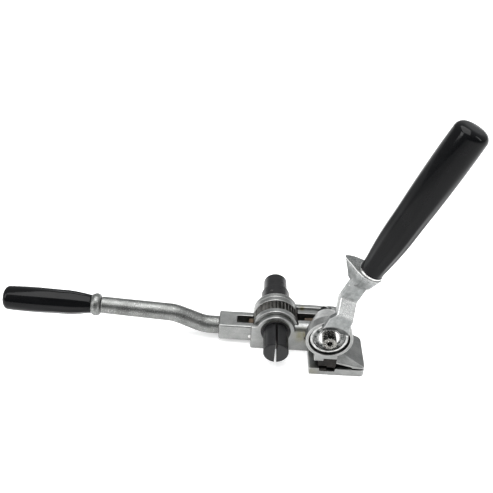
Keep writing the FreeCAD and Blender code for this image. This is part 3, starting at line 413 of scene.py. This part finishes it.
def knurled_steel():
    """The cap screw: dark, with painted bright glints scattered at random over it."""
    s = Shader("knurled_steel", 1.0)
    blotch = s.noise(420.0, 3.0)
    base = s.mix(s.span(blotch, 0.38, 0.62, 0.0, 1.0), (0.035, 0.033, 0.030), (0.22, 0.215, 0.20))
    # Painted glints: bright spots scattered at random over the screw.
    base = s.mix(s.span(s.noise(900.0, 2.0), 0.58, 0.66, 0.0, 1.0), base, (0.80, 0.79, 0.76))
    s.colour(base)
    s.roughness(s.noise(900.0), 0.16, 0.34)
    s.soft_edges(0.00025)
    s.bump(s.noise(1100.0, 3.0), 0.4, 0.0001)
    return s.done()


def tool_steel():
    s = Shader("tool_steel", 0.5, Specular_IOR_Level=0.2)
    blotch = s.noise(160.0, 4.0)
    s.colour(s.mix(s.span(blotch, 0.3, 0.7, 0.0, 1.0), (0.006, 0.0055, 0.005), (0.020, 0.017, 0.015)))
    s.roughness(s.noise(700.0), 0.25, 0.45)
    s.soft_edges(0.0003)
    s.bump(s.noise(1600.0, 3.0), 0.25, 0.00006)
    return s.done()


def gear_steel():
    """Tooth tips worn bright, painted shade in the gaps between them."""
    s = Shader("gear_steel", 0.95)
    blotch = s.noise(220.0, 4.0)
    tips = s.mix(s.span(blotch, 0.35, 0.7, 0.0, 1.0), (0.06, 0.058, 0.052), (0.19, 0.185, 0.175))
    # Painted shade: the colour goes near black toward the roots of the teeth.
    height = s.span(s.from_axis(WINDLASS_AXIS), 0.0196, 0.0210, 0.0, 1.0)
    s.colour(s.mix(height, (0.012, 0.0115, 0.010), tips))
    s.roughness(s.noise(800.0), 0.26, 0.44)
    s.soft_edges(0.0003)
    s.bump(s.noise(2000.0, 2.0, 0.5, (1.0, 0.08, 1.0)), 0.25, 0.00005)
    return s.done()


def pawl_steel():
    s = Shader("pawl_steel", 0.6)
    blotch = s.noise(200.0, 4.0)
    s.colour(s.mix(s.span(blotch, 0.35, 0.7, 0.0, 1.0), (0.045, 0.032, 0.022), (0.12, 0.085, 0.055)))
    s.roughness(s.noise(700.0), 0.32, 0.5)
    s.soft_edges(0.0003)
    s.bump(s.noise(1500.0, 3.0), 0.3, 0.00006)
    return s.done()


def spring_steel():
    s = Shader("spring_steel", 1.0)
    s.colour(s.mix(s.noise(500.0), (0.22, 0.21, 0.20), (0.40, 0.39, 0.37)))
    s.roughness(s.noise(900.0), 0.2, 0.35)
    s.bump(s.noise(3000.0, 2.0), 0.2, 0.00003)
    return s.done()


def bearing_steel():
    """Oiled bushings: steel-grey with a faint warm tint."""
    s = Shader("bearing_steel", 1.0)
    s.colour(s.mix(s.noise(250.0, 4.0), (0.20, 0.19, 0.17), (0.38, 0.37, 0.34)))
    s.roughness(s.noise(700.0), 0.28, 0.45)
    s.soft_edges(0.0003)
    s.bump(s.noise(2200.0, 2.0, 0.5, (0.05, 1.0, 0.05)), 0.2, 0.00004)
    return s.done()


def grip_plastic():
    s = Shader("grip_plastic", 0.0, Specular_IOR_Level=0.13)
    s.colour(s.mix(s.noise(60.0, 4.0), (0.0020, 0.0021, 0.0024), (0.0045, 0.0047, 0.0052)))
    s.roughness(s.noise(240.0, 4.0), 0.06, 0.14)
    s.bump(s.noise(70.0, 2.0), 0.08, 0.0004)
    s.bump(s.noise(900.0, 3.0), 0.04, 0.00005)
    return s.done()


def pale_floor():
    s = Shader("pale_floor", 0.0, Roughness=0.9, Specular_IOR_Level=0.1, Emission_Strength=FLOOR_GLOW)
    s.bsdf.inputs["Emission Color"].default_value = (1.0, 1.0, 1.0, 1.0)
    s.colour(s.mix(s.noise(3.0), (0.90, 0.90, 0.90), (0.93, 0.93, 0.93)))
    return s.done()


MATERIALS = {make.__name__: make() for make in (
    cast_steel, forged_steel, lever_steel, chrome, bright_ferrule, black_oxide, dark_fastener,
    knurled_steel, tool_steel, gear_steel, pawl_steel, spring_steel, bearing_steel, grip_plastic,
    pale_floor)}

NODE_FINISH = {
    "cast_steel": ("main_frame", "rear_cheek", "handle_fork", "drive_pawl_pin"),
    "forged_steel": ("handle_rod", "grip_collar"),
    "lever_steel": ("cutter_lever",),
    "chrome": ("cutter_shaft",),
    "bright_ferrule": ("grip_ferrule",),
    "black_oxide": ("windlass_shaft", "rear_collar", "retaining_ring", "cheek_lock_pin", "shaft_nut"),
    "knurled_steel": ("cap_screw",),
    "dark_fastener": ("cheek_screws", "die_screw", "collar_pin", "holding_pawl_pin",
                      "lever_pin", "gear_key"),
    "tool_steel": ("cutter_blade", "shear_die"),
    "gear_steel": ("ratchet_gear",),
    "pawl_steel": ("drive_pawl", "holding_pawl"),
    "spring_steel": ("drive_pawl_spring", "holding_pawl_spring"),
    "bearing_steel": ("front_bushing", "rear_bushing"),
    "grip_plastic": ("handle_grip", "lever_grip"),
}


def paint(obj, finish):
    obj.data.materials.clear()
    obj.data.materials.append(MATERIALS[finish])


def paint_cad_nodes():
    for finish, names in NODE_FINISH.items():
        for name in names:
            paint(nodes[name], finish)


FORGINGS = (              # node, piece, body, voxel size, rounds of smoothing, share of the faces kept
    ("main_frame", "cast_frame", "frame", 0.4 * MM, 5, 0.4),
    ("rear_cheek", "cast_rear_cheek", "frame", 0.4 * MM, 4, 0.3),
    ("handle_fork", "forged_fork", "handle", 0.4 * MM, 5, 0.4),
    ("handle_rod", "forged_rod", "handle", 0.6 * MM, 4, 0.4),
    ("grip_collar", "forged_collar", "handle", 0.4 * MM, 5, 0.5),
    ("cutter_lever", "forged_lever", "cutter", 0.4 * MM, 6, 0.4),
)


# ---- pieces -----------------------------------------------------------------------------------------
def finish_of(node):
    return next(finish for finish, names in NODE_FINISH.items() if node in names)


def stand_in(obj, node, body):
    """Puts a detailed piece in the place of a CAD node, with the node's finish."""
    paint(obj, finish_of(node))
    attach(obj, body)
    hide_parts(node)
    return obj


def apply_modifiers(obj):
    depsgraph = bpy.context.evaluated_depsgraph_get()
    depsgraph.update()
    mesh = bpy.data.meshes.new_from_object(obj.evaluated_get(depsgraph))
    obj.modifiers.clear()
    obj.data = mesh
    for polygon in mesh.polygons:
        polygon.use_smooth = True


def forging(node, name, body, voxel, rounds, keep):
    """The CAD node with its edges rounded and its corners filled, as a casting or forging has them."""
    mesh = nodes[node].data.copy()
    if mesh.has_custom_normals:
        mesh.attributes.remove(mesh.attributes["custom_normal"])
    obj = bpy.data.objects.new(name, mesh)
    bpy.context.scene.collection.objects.link(obj)
    weld = obj.modifiers.new("weld", "WELD")
    weld.merge_threshold = 0.002 * MM
    remesh = obj.modifiers.new("remesh", "REMESH")
    remesh.mode = "VOXEL"
    remesh.voxel_size = voxel
    smooth = obj.modifiers.new("smooth", "SMOOTH")
    smooth.factor = 0.5
    smooth.iterations = rounds
    decimate = obj.modifiers.new("decimate", "DECIMATE")
    decimate.ratio = keep
    apply_modifiers(obj)
    return stand_in(obj, node, body)


def outline_of(node, direction, coarse, fine):
    """(centre, points) of a turned CAD node: its axis point and its outside as (distance, radius) pairs."""
    co = np.unique(np.round(np.array([v.co for v in nodes[node].data.vertices], float), 7), axis=0)
    axis = np.array(direction)
    across = np.array(direction.cross(Vector((0.0, 1.0, 0.0))))
    level = np.array((0.0, 1.0, 0.0))
    middle = [(np.max(co @ d) + np.min(co @ d)) / 2 for d in (across, level)]
    centre = across * middle[0] + level * middle[1]
    s = co @ axis
    r = np.linalg.norm(co - centre - np.outer(s, axis), axis=1)
    points = []
    place = s.min()
    while place < s.max():
        step = fine if min(place - s.min(), s.max() - place) < 12.0 * fine else coarse
        inside = np.where((s >= place) & (s < place + step))[0]
        if len(inside):
            best = inside[np.argmax(r[inside])]
            points.append((s[best], r[best]))
        place += step
    return centre, [(s.min(), 0.0)] + points + [(s.max(), 0.0)]


def fluted_grip(node, name, body, direction, depth, collar_first):
    """The moulded grip with ten shallow flutes that fade out toward its free end."""
    centre, points = outline_of(node, direction, 1.6 * MM, 0.5 * MM)
    axis = np.array(direction)
    across = np.array(direction.cross(Vector((0.0, 1.0, 0.0))))
    level = np.array((0.0, 1.0, 0.0))
    first, last = points[0][0], points[-1][0]
    collar_end = first if collar_first else last
    mesh = bpy.data.meshes.new(name)
    vertices, faces = [], []
    for s, r in points:
        share = abs(s - collar_end) / (last - first)
        fade = min(1.0, share / 0.10) * min(1.0, max(0.0, (0.85 - share) / 0.45))
        fuller = FULLNESS * math.sin(math.pi * min(1.0, share / 0.45)) ** 2
        for k in range(AROUND):
            angle = 2.0 * math.pi * k / AROUND
            flute = (0.5 - 0.5 * math.cos(FLUTES * angle)) ** 0.7
            radius = max(0.0, r + fuller - depth * fade * flute) if r > 0.0 else 0.0
            vertices.append(centre + axis * s + radius * (across * math.cos(angle) + level * math.sin(angle)))
    for row in range(len(points) - 1):
        for k in range(AROUND):
            a, b = row * AROUND + k, row * AROUND + (k + 1) % AROUND
            faces.append((a, b, b + AROUND, a + AROUND))
    mesh.from_pydata([tuple(v) for v in vertices], [], faces)
    obj = bpy.data.objects.new(name, mesh)
    bpy.context.scene.collection.objects.link(obj)
    weld = obj.modifiers.new("weld", "WELD")
    weld.merge_threshold = 0.005 * MM
    apply_modifiers(obj)
    return stand_in(obj, node, body)


def polished_hub(node, name, body):
    """The cutter shaft with the raised rim that runs round its flange."""
    mesh = nodes[node].data.copy()
    obj = bpy.data.objects.new(name, mesh)
    bpy.context.scene.collection.objects.link(obj)
    profile = [(RIM_INNER_R, RIM_ROOT), (RIM_INNER_R + 0.5 * MM, RIM_TOP + 0.25 * MM),
               (RIM_INNER_R + 1.0 * MM, RIM_TOP), (RIM_OUTER_R - 0.7 * MM, RIM_TOP),
               (RIM_OUTER_R, RIM_TOP + 0.6 * MM), (RIM_OUTER_R, RIM_ROOT)]
    shape = bmesh.new()
    shape.from_mesh(mesh)
    rings = []
    for r, y in profile:
        ring = []
        for k in range(AROUND):
            angle = 2.0 * math.pi * k / AROUND
            x = CUTTER_AXIS.x + r * math.cos(angle)
            z = CUTTER_AXIS.z + r * math.sin(angle)
            ring.append(shape.verts.new((x, y, z)))
        rings.append(ring)
    for i, ring in enumerate(rings):
        following = rings[(i + 1) % len(rings)]
        for k in range(AROUND):
            n = (k + 1) % AROUND
            face = shape.faces.new((ring[k], ring[n], following[n], following[k]))
            face.smooth = True
    bmesh.ops.recalc_face_normals(shape, faces=shape.faces)
    shape.to_mesh(mesh)
    shape.free()
    return stand_in(obj, node, body)


add_camera()
add_studio()
paint_cad_nodes()

floor_mesh = bpy.data.meshes.new("floor")
corners = ((-1, -1), (1, -1), (1, 1), (-1, 1))
floor_mesh.from_pydata([(x * FLOOR_HALF, y * FLOOR_HALF, 0.0) for x, y in corners], [], [(0, 1, 2, 3)])
floor = bpy.data.objects.new("floor", floor_mesh)
bpy.context.scene.collection.objects.link(floor)
floor.location.z = cad_box[0][2] - FLOOR_DROP
floor_mesh.materials.append(MATERIALS["pale_floor"])

for forged in FORGINGS:
    forging(*forged)
fluted_grip("handle_grip", "fluted_handle_grip", "handle", ROD_DIRECTION, 0.6 * MM, False)
fluted_grip("lever_grip", "fluted_lever_grip", "cutter", LEVER_DIRECTION, 0.6 * MM, True)
polished_hub("cutter_shaft", "polished_cutter_hub", "cutter")
